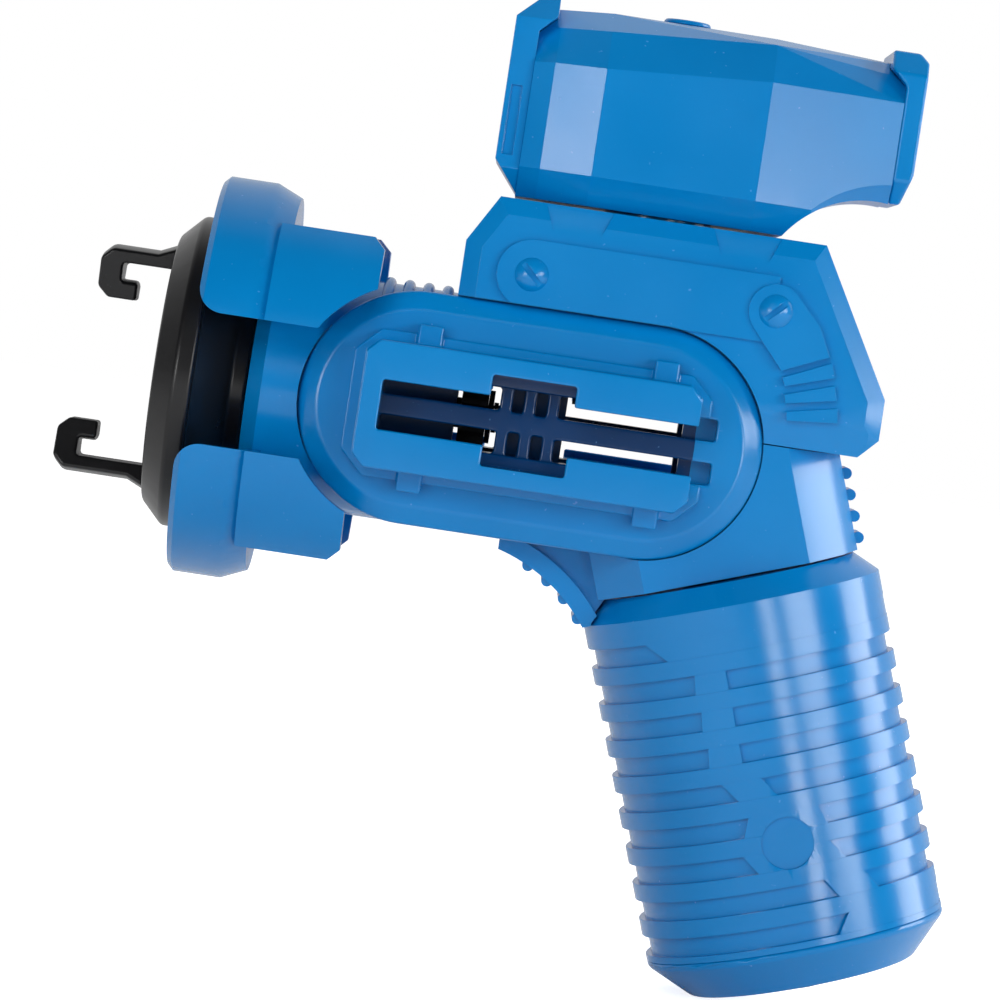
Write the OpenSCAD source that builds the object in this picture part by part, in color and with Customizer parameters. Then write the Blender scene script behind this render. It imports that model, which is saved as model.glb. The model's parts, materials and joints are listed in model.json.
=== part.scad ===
// Spinning top launcher: a pistol grip, a barrel with a hooked rotor in front
// and a swivelling winder case on top that drives the rotor through gears.
// Lengths are in millimetres. X runs back from the rotor along its axis, Y is
// across the body and Z is up. The origin is on the rotor axis, at the front
// face of the rotor. The left side of the body is the side at negative Y.

/* [Rotor] */
// Diameter of the flat front face of the rotor
rotor_face_d = 35; // [33:0.5:38]
// Largest diameter of the rotor, at its rim
rotor_rim_d = 41; // [39:0.5:44]
// Length of the bevel from the front face to the rim
rotor_bevel_l = 2.9; // [2:0.1:3.5]
// Length of the straight rim band
rotor_band_l = 2.3; // [1.5:0.1:3]
// Diameter of the shoulder behind the rim band
rotor_shoulder_d = 36; // [30:0.5:38]
// Length of the cone from the shoulder to the neck
rotor_cone_l = 4.5; // [3:0.1:6]
// Diameter of the rotor neck
rotor_neck_d = 22; // [16:0.5:26]
// Length of the rotor neck
rotor_neck_l = 2; // [1:0.1:4]

/* [Hooks] */
// Radius of the inner face of the hook arms
hook_arm_r = 13.4; // [12:0.1:14]
// Thickness of the hook arms
hook_arm_t = 1.8; // [1.4:0.1:2.4]
// Reach of the upper hook in front of the rotor face
upper_hook_reach = 9.8; // [9:0.1:15]
// Reach of the lower hook in front of the rotor face
lower_hook_reach = 12.3; // [9:0.1:15]
// Angle that each hook covers round the rotor axis
hook_span = 34; // [24:1:50]
// Turn of the hook pair from upright towards the left side
hook_turn = 0; // [0:1:45]
// Thickness of the claw at the front of each hook
hook_claw_t = 3; // [2:0.1:4]
// How far the claw reaches in from the arm
hook_claw_l = 5; // [4:0.1:5.4]
// Length of the lip that turns back from the claw
hook_lip_l = 2.2; // [1:0.1:3.5]
// Thickness of that lip
hook_lip_t = 2.4; // [1.5:0.1:3]
// Depth of the hook tangs in the rotor face
hook_tang_l = 2; // [1:0.1:2.6]

/* [Barrel] */
// Outer diameter of the barrel
barrel_d = 31; // [30.5:0.1:33]
// Thickness of the front wall of the barrel
barrel_wall_l = 3; // [2.5:0.1:4]
// Width of the bevel on the front rim of the barrel
barrel_bevel = 1.9; // [0.5:0.1:2.4]
// Bore diameter of the barrel bay
barrel_bay_d = 21; // [18:0.5:22]
// Width of each grip rib on the barrel
barrel_rib_w = 1.5; // [0.8:0.1:2]
// Spacing of the grip ribs
barrel_rib_pitch = 2.55; // [2.2:0.05:3]

/* [Front collar] */
// Outer diameter of the collar
collar_d = 52.4; // [50:0.2:56]
// Wall of the collar
collar_wall = 2.6; // [2:0.1:3.2]
// Length of the collar in front of the barrel
collar_overhang = 7.3; // [5:0.1:9]
// Length of the collar root over the barrel
collar_root_l = 3; // [2.4:0.1:5]
// Height of the window between the collar halves
collar_window_h = 16.8; // [12:0.2:20]
// Length of the cheeks behind the collar
cheek_l = 12.1; // [6:0.1:13]
// Height of the flat top of the cheeks above the axis
cheek_z = 21; // [19:0.1:22]

/* [Body] */
// Half width of the body core
core_half_w = 12.5; // [12:0.1:14]
// Wall thickness of the body shells
wall = 2.5; // [2:0.1:3]
// Distance from the barrel front to the side ports
port_setback = 6.8; // [6:0.1:8]

/* [Side port] */
// Length of the port plate
port_l = 60.2; // [58:0.2:62]
// Height of the port plate
port_h = 30.2; // [29:0.2:30.4]
// Thickness of the port plate
port_t = 3; // [2.8:0.1:3.4]
// Width of the bevel round the port plate
port_bevel = 2.4; // [1:0.1:3]
// Depth of that bevel
port_bevel_t = 1.3; // [0.6:0.1:2]

/* [Accessory rail] */
// Distance from the port front to the rail base
rail_inset = 6.5; // [6:0.1:8]
// Length of the rail base
rail_base_l = 46.4; // [44:0.2:48]
// Height of the rail base
rail_base_h = 19; // [17:0.2:20]
// Thickness of the rail base above the port floor
rail_base_t = 1.5; // [1:0.1:2.5]
// Outer height of the rails
rail_h = 16.4; // [14:0.2:17]
// Height of the channel inside the rails
channel_h = 11.8; // [9:0.2:12]
// Height of the mouth between the rail lips
mouth_h = 6.4; // [5:0.2:8]
// Thickness of the rail lips
lip_t = 2; // [1.4:0.1:2.6]
// Depth of the channel under the lips
channel_depth = 4.4; // [4.2:0.1:6]
// Length of the notch in the lips
notch_l = 10.8; // [6:0.2:14]
// Height of the spine under the channel
spine_h = 2.7; // [1.5:0.1:3]

/* [Saddle] */
// Distance from the barrel front to the saddle front
saddle_setback = 25.2; // [25:0.1:27]
// Height of the saddle top above the rotor axis
saddle_z = 28.6; // [28:0.1:32]
// Overall length of the saddle
saddle_l = 56.4; // [54:0.2:60]
// Length of the saddle top before the rear slope
saddle_top_l = 46; // [44:0.2:48]
// Height of the saddle heel above the axis, where the rear slope ends
saddle_heel_z = 10; // [8:0.1:12]
// Height of the lowest edge of the saddle above the axis
saddle_foot_z = 2.2; // [2:0.1:3]
// Thickness of the saddle covers
saddle_t = 3; // [2.4:0.1:4]
// Width of the bevel round the saddle covers
saddle_bevel = 2.2; // [1:0.1:2.8]
// Height of the cover screws above the axis
saddle_screw_z = 19.2; // [18.5:0.1:20]
// Distance between the cover screws
saddle_screw_pitch = 31.7; // [30:0.1:32]
// Diameter of the domed screw heads
saddle_head_d = 4.4; // [3.6:0.1:5]

/* [Winder case] */
// Length of the winder case between its end plates
case_l = 47.9; // [46:0.1:54]
// Width of the winder case
case_w = 33; // [31:0.2:36]
// Height of the winder case
case_h = 25.6; // [24:0.2:30]
// Height of the parting line above the case bottom
case_split_h = 15.4; // [13:0.1:15.6]
// Wall of the winder case
case_wall = 2.2; // [1.8:0.1:2.6]
// Running gap between the saddle and the winder case
swivel_gap = 0.4; // [0.3:0.1:1]
// Thickness of the front guide plate
front_plate_t = 3.2; // [2.6:0.1:4]
// Thickness of the rear guide plate
rear_plate_t = 2.6; // [2.6:0.1:4]
// Width of the slot that the toothed strip runs through
strip_slot_w = 4.6; // [4.3:0.1:5.4]
// Height of that slot
strip_slot_h = 7.4; // [6:0.1:8]
// Diameter of the swivel spigot under the case
spigot_d = 14; // [12:0.2:15]
// Radius of the arch under the rear of the case
arch_r = 14; // [10:0.2:15]
// Diameter of the pivot cap
cap_d = 6.2; // [5:0.1:8]
// Height of the pivot cap above the case
cap_h = 0.6; // [0.5:0.1:1.5]

/* [Neck] */
// Distance from the barrel front back to the centre of the handle top
handle_setback = 65.5; // [64.5:0.1:67]
// Depth of the centre of the handle top below the axis
handle_drop = 15.9; // [15.5:0.1:17]
// Lean of the handle from upright
handle_lean = 19.3; // [17:0.1:21]
// Reach of the neck in front of and behind the handle axis
neck_reach = 17.3; // [16:0.1:18]
// Half width of the neck
neck_half_w = 14; // [13:0.1:16]
// Width of the facets at the front corners of the neck
neck_front_facet = 6; // [3:0.1:8]
// Width of the facets at the rear corners of the neck
neck_facet = 4.6; // [3:0.1:6]
// Half width of the curved fin in front of the neck
fin_half_w = 7; // [5:0.1:10]
// Radius of the curve of that fin
fin_r = 22.8; // [21:0.1:24]
// Radius of the neck ribs
neck_rib_r = 0.75; // [0.4:0.05:1]
// Spacing of the neck ribs
neck_rib_pitch = 2.85; // [2.2:0.05:3.2]

/* [Handle] */
// Diameter of the handle
handle_d = 39.5; // [38:0.1:42]
// Length of the handle with its base cap
handle_l = 53.5; // [52:0.5:70]
// Wall of the handle
handle_wall = 2.6; // [2.2:0.1:3.4]
// Thickness of the end wall at the handle top
handle_top_t = 4; // [3:0.1:6]
// Bevel at the top of the handle
handle_shoulder = 2.9; // [2:0.1:3.2]
// Bevel at the foot of the handle
base_bevel = 4.8; // [2:0.1:6]
// Height of the base cap
base_h = 5.6; // [4.8:0.1:8]
// Depth of the grip grooves
groove_depth = 0.8; // [0.4:0.1:1.2]
// Height of each grip groove
groove_h = 2.5; // [1.5:0.1:3.4]
// Spacing of the grip grooves
groove_pitch = 4.8; // [4:0.05:4.9]
// Depth of the first groove below the handle top
groove_start = 7.4; // [6:0.1:7.6]

/* [Drive] */
// Diameter of the rotor shaft
rotor_shaft_d = 4; // [3:0.1:5]
// Diameter of the lay shaft
lay_shaft_d = 3; // [2.5:0.1:3.4]
// Diameter of the drive shaft
drive_shaft_d = 3; // [2.5:0.1:3.2]
// Wall of the bushes
bush_wall = 0.9; // [0.7:0.05:1.2]
// Tooth module of the spur gears
spur_module = 1; // [0.9:0.05:1.05]
// Teeth of the rotor gear
rotor_teeth = 10; // [10:2:10]
// Teeth of the lay gear
lay_teeth = 12; // [12:2:12]
// Tooth module of the crown gear and its pinion
crown_module = 0.8; // [0.7:0.05:0.85]
// Teeth of the crown gear
crown_teeth = 16; // [16:2:16]
// Teeth of the crown pinion
pinion_teeth = 10; // [10:2:10]
// Face width of the spur gears
spur_face = 3.5; // [2.5:0.1:4]
// Face width of the crown pinion
pinion_face = 2.6; // [2:0.1:3]
// Teeth of the winder pinion
winder_teeth = 10; // [8:2:12]
// Face width of the winder pinion
winder_face = 6; // [4:0.1:7]

/* [Fits] */
// Running clearance on a radius
run_fit = 0.06; // [0.02:0.01:0.1]
// Clearance between parts that are assembled and stay still
seat_fit = 0.05; // [0.02:0.01:0.1]
// Gap between parts that move past each other
move_gap = 0.3; // [0.2:0.05:0.5]

/* [Hidden] */
$fn = 64;
// Extra length of every cutting shape past the face that it cuts
overrun = 1;

blue = [0.0, 0.45, 0.80];
black = [0.05, 0.05, 0.06];
steel = [0.72, 0.73, 0.75];
brass = [0.80, 0.66, 0.36];
gear_black = [0.08, 0.08, 0.09];

// Rotor and hooks
rotor_l = rotor_bevel_l + rotor_band_l + rotor_cone_l + rotor_neck_l;
hook_corner = 1.4;
hook_foot = 1.1;
hook_foot_l = 2.4;
hook_arm_out = hook_arm_r + hook_arm_t;
hook_claw_r = hook_arm_r - hook_claw_l;

// Places along the barrel
barrel_x = rotor_l + move_gap;
collar_x0 = barrel_x - collar_overhang;
collar_x1 = barrel_x + collar_root_l;
collar_web_t = 2.4;
collar_edge = 1.5;
collar_bevel_l = 3.4;
collar_corner_r = 3.3;
port_x0 = barrel_x + port_setback;
port_x1 = port_x0 + port_l;
port_end_x = port_x0 + port_h / 2;
cheek_gap = 0.8;
saddle_x0 = barrel_x + saddle_setback;
saddle_x1 = saddle_x0 + saddle_l;
cover_gap = 0.15;

// Barrel ribs end where the saddle begins
barrel_rib_count = 4;
barrel_rib_span = 84;
barrel_rib_x = saddle_x0 - barrel_rib_w;

// Accessory rail
rail_x0 = port_x0 + rail_inset;
rail_x1 = rail_x0 + rail_base_l;
rail_corner = 3;
rail_end_t = 2.6;
rail_lead = 1.6;
channel_x0 = rail_x0 + rail_lead + rail_end_t;
channel_x1 = rail_x1 - rail_lead;
notch_setback_share = 0.34;
notch_x0 = channel_x0 + notch_setback_share * (channel_x1 - channel_x0);
notch_x1 = notch_x0 + notch_l;
window_x0 = channel_x0;
window_x1 = channel_x1 - rail_lead;
pocket_x1 = rail_x1 + overrun;
window_h = channel_h - 2 * rail_lead;
grid_rib_w = 1.6;
grid_rib_shares = [0.2, 0.48, 0.76];
lug_l = 3.2;
lug_h = 2.6;
lug_t = 1;
lug_shares = [0.2, 0.86];

// Saddle outline
saddle_front_cut = 3.6;
saddle_front_drop = 6.2;
saddle_heel_l = 5.3;
saddle_heel_cut = 2.4;
saddle_screw_inset = 9;
saddle_screw_x = saddle_x0 + saddle_screw_inset;
panel_r = 4.5;
panel_t = 0.7;
tongue_t = 1.1;
tongue_r = 3.5;
// Corners of the tongue, measured from the rear screw
tongue_corners = [[-2.6, -2.4], [1.8, -7.4], [7.7, -4.8], [6, -1.2], [2.9, 2], [0.8, 3.4]];
foot_bevel_h = 4.2;
foot_bevel_t = 1.4;
facet_places = [14, 35.8];
facet_top_l = 10.4;
facet_low_l = 5.4;
facet_h = 3.4;
facet_drop = 1.2;
wedge_count = 3;
wedge_l = 6.6;
wedge_h = 1.9;
wedge_thin_share = 0.6;
wedge_t = 0.9;
wedge_pitch = 2.5;
wedge_shift = 0.6;
wedge_setback = 5.4;
wedge_drop = 7.6;
wedge_lean = 21;
wedge_lean_step = 6.2;
head_h = 1;
head_slot_w = 0.7;
head_slot_d = 0.6;
cover_screw_d = 2.5;
cover_screw_l = 7;
head_turns = [135, 45];

// Drive train
rotor_gear_r = spur_module * rotor_teeth / 2;
lay_gear_r = spur_module * lay_teeth / 2;
lay_z = rotor_gear_r + lay_gear_r;
crown_r = crown_module * crown_teeth / 2;
pinion_r = crown_module * pinion_teeth / 2;
addendum_share = 0.72;
dedendum_share = 1.05;
tooth_shares = [[-0.29, 0], [-0.09, 1], [0.09, 1], [0.29, 0]];
crown_tooth_share = 0.9;
crown_tooth_shares = [[-0.27, 0], [-0.07, 1], [0.07, 1], [0.27, 0]];
bulkhead_t = 3.4;
bulkhead_step = 0.8;
bulkhead_x = saddle_x0 + bulkhead_step - bulkhead_t;
bulkhead_x0 = window_x0 - wall;
bulkhead_half_w = 4;
front_skin = 1.8;
bay_x0 = saddle_x0 + front_skin;
gear_x0 = bay_x0 + 2 * move_gap;
gear_x1 = gear_x0 + spur_face;
clip_t = 0.8;
clip_rim = 1.5;
clip_d = rotor_shaft_d + 2 * clip_rim;
clip_groove = 0.5;
shaft_tail = 0.6;
rotor_socket_l = 8;
rotor_shaft_x0 = rotor_l - rotor_socket_l;
rotor_shaft_x1 = gear_x1 + clip_t + shaft_tail;
rib_wall_t = 3;
rib_wall_x0 = rotor_shaft_x1 + 2 * move_gap;
rib_wall_x1 = rib_wall_x0 + rib_wall_t;
drive_setback = 42.7;
drive_x = port_x0 + drive_setback;
pinion_z = lay_z + crown_r;
crown_pitch_x = drive_x - pinion_r;
crown_root_x = crown_pitch_x - dedendum_share * crown_module - move_gap;
crown_tip_x = crown_pitch_x + addendum_share * crown_module;
crown_disc_t = 2.4;
crown_hub_l = 2.6;
crown_hub_d = 7;
web_half_t = 1.5;
web_x0 = (rib_wall_x0 + rib_wall_x1) / 2;
web_x1 = crown_root_x - crown_disc_t - 2 * move_gap;
web_z0 = wall / 2 - port_h / 2;
web_z1 = lay_z - crown_hub_d / 2 - 2 * move_gap;
crown_in_r = crown_r - pinion_face / 2;
crown_out_r = crown_r + pinion_face / 2;
shelf_t = 3.4;
shelf_z0 = 8.6;
shelf_x0 = crown_tip_x + move_gap;
shelf_l = 10;
bay_top_z = saddle_z - wall;
lay_bush_d = lay_shaft_d + 2 * bush_wall;
rotor_bush_d = rotor_shaft_d + 2 * bush_wall;
drive_bush_d = drive_shaft_d + 2 * bush_wall;
bay_half_w = core_half_w - wall;

// Shell screws
shell_screw_d = 2.5;
shell_head_d = 5;
shell_head_t = 1.8;
shell_boss_d = 5.6;
shell_screw_tail = 3;
shell_screws = [
    [(rib_wall_x0 + rib_wall_x1) / 2, bay_top_z - shell_boss_d / 2],
    [port_x1 - wall - shell_boss_d / 2, 0 - port_h / 4],
    [rib_wall_x1 + shell_boss_d, shell_boss_d / 2 + wall / 2 - port_h / 2],
    [saddle_x1 - 2 * shell_boss_d, saddle_heel_z - shell_boss_d / 2 + wall / 2]
];

// Winder case
case_nose = 19;
case_x0 = drive_x - case_nose;
case_x1 = case_x0 + case_l;
case_z0 = saddle_z + swivel_gap;
case_z1 = case_z0 + case_h;
split_z = case_z0 + case_split_h;
case_low_bevel = 3.8;
case_high_bevel = 4.4;
case_high_bevel_h = 8.2;
case_high_rise = 1.8;
case_crown = 2.8;
case_crown_share = 0.3;
// Stations along the case: shares of its length, of its half width, of the rise of its
// upper bevel, of the fall of its roof and of the drop of its crown
case_shares = [
    [0, 0.80, 0, 0.7, 0.9], [0.056, 0.885, 0.1, 0.5, 0.95], [0.195, 1, 0.17, 0.1, 0.975],
    [0.64, 1, 0.97, 0.2, 0.415], [1, 0.76, 1, 1, 0.65]
];
case_roof_fall = 1.2;
case_station_t = 0.02;
arch_setback = 1.4;
arch_h = 6.2;
arch_x = case_x1 - arch_setback;
arch_z = case_z0 + arch_h - arch_r;
arch_bevel = 2.4;
// Lean of the tail faces of the case, and their distance from the arch axis
case_tail_lean = atan((case_shares[3][1] - case_shares[4][1]) * case_w / 2
                      / ((case_shares[4][0] - case_shares[3][0]) * case_l));
case_tail_y = case_shares[4][1] * case_w / 2 * cos(case_tail_lean) + arch_setback * sin(case_tail_lean);
spigot_flange = 1.4;
spigot_flange_t = 1.6;
spigot_roof_l = wall + swivel_gap;
plate_half_w = 12.6;
plate_lift = 0.4;
front_plate_z0 = case_z0 + plate_lift;
rear_plate_z0 = arch_z + arch_r;
plate_z1 = case_z1 + plate_lift;
plate_corner = 3;
rear_plate_corner = 1.2;
plate_groove_w = 1.4;
plate_groove_d = 0.5;
plate_groove_h = 9;
plate_groove_inset = 0.7;
plate_foot_h = 4;
rear_foot_cut = 1.1;
plate_hook_t = 2.4;
plate_hook_l = case_wall - seat_fit;
winder_pinion_r = spur_module * winder_teeth / 2;
winder_tip_r = winder_pinion_r + addendum_share * spur_module;
strip_y0 = winder_tip_r + move_gap;
strip_y1 = strip_y0 + strip_slot_w;
strip_z0 = split_z - strip_slot_h / 2;
winder_pinion_z0 = split_z - winder_face / 2;
guide_t = 1.6;
drive_shaft_z0 = shelf_z0;
drive_shaft_z1 = case_z1 - case_wall - move_gap;
cap_lip = 1;
cap_stem_d = cap_d - 2 * cap_lip;
cap_stem_l = case_wall - move_gap;
case_screw_d = 2.5;
case_head_d = 4.8;
case_head_t = 1.8;
case_boss_d = 6;
case_screw_inset = 6;
case_screw_reach = 13;
case_screw_xs = [case_x0 + case_screw_inset, drive_x + case_screw_reach];
case_screw_tail = 6;

// Neck and handle
handle_x = barrel_x + handle_setback;
handle_r = handle_d / 2;
neck_top_z = saddle_foot_z - cover_gap;
neck_l = 40;
neck_back_half_w = 4;
neck_back_cut = 2.3;
fin_ribs = 4;
fin_rib_angle = 8;
fin_rib_start = 26.5;
fin_t = 2.4;
fin_web_step = 1.6;
fin_setback = 22.4;
fin_drop = 0.8;
fin_lead = 6;
fin_x = port_x0 + fin_setback;
fin_z = 0 - port_h / 2 - fin_r - fin_drop;
neck_ribs = 4;
neck_rib_top = 10.4;
neck_rib_w = 2 * neck_back_half_w;
post_d = 12;
post_flange_d = 18;
post_flange_t = 3;
post_flange_z = 2;
post_l = handle_top_t + move_gap;
washer_d = 22;
washer_t = 1.5;
handle_screw_d = 4;
handle_head_d = 8;
handle_head_t = 2.6;
handle_screw_l = 8;
base_spigot_l = 4;
base_screw_d = 2.5;
base_head_d = 5;
base_head_t = 2;
base_boss_d = 6;
base_boss_l = 12;
base_screw_inset = 0.6;
base_screw_r = handle_r - base_bevel - base_head_d / 2 - base_screw_inset;
base_screw_tail = 7;
// Ends of the grooves on the front and on the rear of the grip, from the top down: distance behind
// the grip axis at the upper and at the lower edge of the groove
front_groove_ends = [
    [-12.4, -10], [-7, -7.3], [-7, -7.3], [-7, -7.3], [-6.2, -4.4], [-3.6, -4.6],
    [-5.2, -3.6], [4.6, 6.1], [6.9, 5.2]
];
rear_groove_ends = [[-3, -3], [-3, -3], [-3, -3], [-1, 0.6], [5.5, 6.4], [6.2, 7.9], [9.9, 11.4]];
band_step = 0.06;
mark_r = 3.4;
mark_x = 0.8;
mark_depth = 0.5;
mark_s = 34.2;

// Turns local Z to X, and local X to minus Z
module along_x(x = 0, z = 0) {
    translate([x, 0, z]) rotate([0, 90, 0]) children();
}

// Puts an upright outline on the left side: local X and Y lie along X and Z, local Z points out
module on_left(y = 0) {
    translate([0, 0 - y, 0]) rotate([90, 0, 0]) children();
}

module mirror_side(side) {
    mirror([0, side == "right" ? 1 : 0, 0]) children();
}

// Places children at the handle top with local Z up along the handle
module handle_frame() {
    translate([handle_x, 0, 0 - handle_drop]) rotate([0, 0 - handle_lean, 0]) children();
}

module ring(d_out, d_in, h) {
    difference() {
        cylinder(h = h, d = d_out);
        translate([0, 0, 0 - overrun]) cylinder(h = h + 2 * overrun, d = d_in);
    }
}

module stadium(x0, x1, h) {
    translate([x0 + h / 2, 0 - h / 2]) square([x1 - x0 - h, h]);
    for (x = [x0 + h / 2, x1 - h / 2]) translate([x, 0]) circle(d = h);
}

// Stadium plate with a bevelled outer edge
module bevelled_stadium(x0, x1, h, t, bevel, bevel_t) {
    for (x = [x0 + h / 2, x1 - h / 2]) translate([x, 0, 0]) {
        cylinder(h = t - bevel_t, d = h);
        translate([0, 0, t - bevel_t]) cylinder(h = bevel_t, d1 = h, d2 = h - 2 * bevel);
    }
    translate([x0 + h / 2, 0, 0]) rotate([90, 0, 90]) linear_extrude(x1 - x0 - h)
        polygon([[0 - h / 2, 0], [h / 2, 0], [h / 2, t - bevel_t], [h / 2 - bevel, t],
                 [bevel - h / 2, t], [0 - h / 2, t - bevel_t]]);
}

module saddle_outline() {
    slope_x = saddle_x0 + saddle_top_l;
    polygon([
        [saddle_x0, saddle_foot_z], [saddle_x0, saddle_z - saddle_front_drop],
        [saddle_x0 + saddle_front_cut, saddle_z], [slope_x, saddle_z],
        [saddle_x1, saddle_heel_z], [saddle_x1, saddle_heel_z - saddle_heel_l],
        [saddle_x1 - saddle_heel_cut, saddle_foot_z]
    ]);
}

// Gear tooth outline from shares of the tooth step and of the tooth height
module spur_outline(teeth, tooth_module) {
    root_r = tooth_module * (teeth / 2 - dedendum_share);
    height = tooth_module * (addendum_share + dedendum_share);
    polygon([for (i = [0 : teeth - 1], p = tooth_shares)
        let (a = 360 / teeth * (i + p[0]), r = root_r + height * p[1]) [r * cos(a), r * sin(a)]]);
}

// Rotor and hooks

// Sector of a ring round the rotor axis, centred on a turn from upright towards the left side
module hook_sector(turn) {
    along_x() rotate([0, 0, 180 + turn - hook_span / 2]) rotate_extrude(angle = hook_span) children();
}

module hook(turn, reach) {
    color(black) hook_sector(turn) polygon([
        [hook_arm_r, hook_tang_l], [hook_arm_out, hook_tang_l], [hook_arm_out, 0],
        [hook_arm_out + hook_foot, 0], [hook_arm_out, 0 - hook_foot_l],
        [hook_arm_out, hook_corner - reach], [hook_arm_out - hook_corner, 0 - reach],
        [hook_claw_r + hook_corner, 0 - reach], [hook_claw_r, hook_corner - reach],
        [hook_claw_r, hook_claw_t + hook_lip_l - reach],
        [hook_claw_r + hook_lip_t, hook_claw_t + hook_lip_l - reach],
        [hook_claw_r + hook_lip_t, hook_claw_t - reach],
        [hook_arm_r, hook_claw_t - reach]
    ]);
}

module upper_hook() { hook(hook_turn, upper_hook_reach); }
module lower_hook() { hook(hook_turn + 180, lower_hook_reach); }

module rotor() {
    shoulder_x = rotor_bevel_l + rotor_band_l;
    color(black) difference() {
        along_x() rotate_extrude() polygon([
            [0, 0], [rotor_face_d / 2, 0], [rotor_rim_d / 2, rotor_bevel_l],
            [rotor_rim_d / 2, shoulder_x], [rotor_shoulder_d / 2, shoulder_x],
            [rotor_neck_d / 2, shoulder_x + rotor_cone_l], [rotor_neck_d / 2, rotor_l], [0, rotor_l]
        ]);
        along_x(rotor_shaft_x0 - seat_fit)
            cylinder(h = rotor_l - rotor_shaft_x0 + overrun, d = rotor_shaft_d + 2 * seat_fit);
        for (turn = [hook_turn, hook_turn + 180]) hook_sector(turn)
            translate([hook_arm_r - seat_fit, 0 - overrun])
                square([hook_arm_t + 2 * seat_fit, hook_tang_l + overrun + seat_fit]);
    }
}

module rotor_shaft() {
    color(steel) difference() {
        along_x(rotor_shaft_x0) cylinder(h = rotor_shaft_x1 - rotor_shaft_x0, d = rotor_shaft_d);
        along_x(gear_x1) ring(rotor_shaft_d + 2 * overrun, rotor_shaft_d - 2 * clip_groove, clip_t);
    }
}

module shaft_clip() {
    color(steel) along_x(gear_x1 + seat_fit)
        ring(clip_d, rotor_shaft_d - 2 * clip_groove + 2 * seat_fit, clip_t - 2 * seat_fit);
}

module rotor_bush(x, l) {
    color(brass) along_x(x) ring(rotor_bush_d, rotor_shaft_d + 2 * run_fit, l);
}

module front_bush() { rotor_bush(barrel_x, barrel_wall_l); }
module rear_bush() { rotor_bush(bulkhead_x, bulkhead_t); }

module rotor_gear() {
    color(gear_black) along_x(gear_x0) difference() {
        linear_extrude(spur_face) spur_outline(rotor_teeth, spur_module);
        translate([0, 0, 0 - overrun])
            cylinder(h = spur_face + 2 * overrun, d = rotor_shaft_d + 2 * seat_fit);
    }
}

// Lay shaft with the spur gear and the crown gear

module lay_shaft() {
    color(steel) along_x(bulkhead_x, lay_z)
        cylinder(h = crown_root_x - bulkhead_x, d = lay_shaft_d);
}

module lay_bushes() {
    color(brass) {
        along_x(bulkhead_x, lay_z) ring(lay_bush_d, lay_shaft_d + 2 * run_fit, bulkhead_t);
        along_x(rib_wall_x0, lay_z) ring(lay_bush_d, lay_shaft_d + 2 * run_fit, rib_wall_x1 - rib_wall_x0);
    }
}

module lay_gear() {
    color(gear_black) along_x(gear_x0, lay_z) difference() {
        rotate([0, 0, 180 / lay_teeth]) linear_extrude(spur_face) spur_outline(lay_teeth, spur_module);
        translate([0, 0, 0 - overrun]) cylinder(h = spur_face + 2 * overrun, d = lay_shaft_d + 2 * seat_fit);
    }
}

module crown_gear() {
    step_l = 2 * PI * crown_r / crown_teeth;
    tooth_h = crown_tip_x - crown_root_x;
    disc_x = crown_root_x - crown_disc_t;
    color(gear_black) difference() {
        union() {
            along_x(disc_x, lay_z) cylinder(h = crown_disc_t, r = crown_out_r);
            along_x(disc_x - crown_hub_l, lay_z) cylinder(h = crown_hub_l, d = crown_hub_d);
            along_x(crown_root_x, lay_z)
                for (i = [0 : crown_teeth - 1]) rotate([0, 0, 360 / crown_teeth * (i + 1 / 2)])
                    translate([crown_in_r, 0, 0 - seat_fit]) rotate([90, 0, 90])
                        linear_extrude(crown_tooth_share * pinion_face)
                            polygon([for (p = crown_tooth_shares)
                                [p[0] * step_l, p[1] * (tooth_h + seat_fit)]]);
        }
        along_x(disc_x - crown_hub_l - overrun, lay_z)
            cylinder(h = crown_hub_l + crown_disc_t + 2 * overrun, d = lay_shaft_d + 2 * seat_fit);
    }
}

// Drive shaft with the crown pinion and the winder pinion

module at_drive(z) {
    translate([drive_x, 0, z]) children();
}

module drive_shaft() {
    color(steel) at_drive(drive_shaft_z0) cylinder(h = drive_shaft_z1 - drive_shaft_z0, d = drive_shaft_d);
}

module drive_bush() {
    color(brass) at_drive(shelf_z0) ring(drive_bush_d, drive_shaft_d + 2 * run_fit, shelf_t);
}

module drive_gear(teeth, tooth_module, face) {
    color(gear_black) difference() {
        linear_extrude(face) spur_outline(teeth, tooth_module);
        translate([0, 0, 0 - overrun]) cylinder(h = face + 2 * overrun, d = drive_shaft_d + 2 * seat_fit);
    }
}

module crown_pinion() {
    at_drive(pinion_z - pinion_face / 2) drive_gear(pinion_teeth, crown_module, pinion_face);
}

module winder_pinion() {
    at_drive(winder_pinion_z0) drive_gear(winder_teeth, spur_module, winder_face);
}

// Body shells

module barrel() {
    along_x(barrel_x) cylinder(h = barrel_bevel, d1 = barrel_d - 2 * barrel_bevel, d2 = barrel_d);
    along_x(barrel_x + barrel_bevel) cylinder(h = saddle_x0 - barrel_x - barrel_bevel, d = barrel_d);
    for (i = [0 : barrel_rib_count - 1]) along_x(barrel_rib_x - i * barrel_rib_pitch)
        rotate([0, 0, 180 - barrel_rib_span / 2]) rotate_extrude(angle = barrel_rib_span)
            translate([barrel_d / 2, 0]) circle(d = barrel_rib_w);
}

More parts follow.
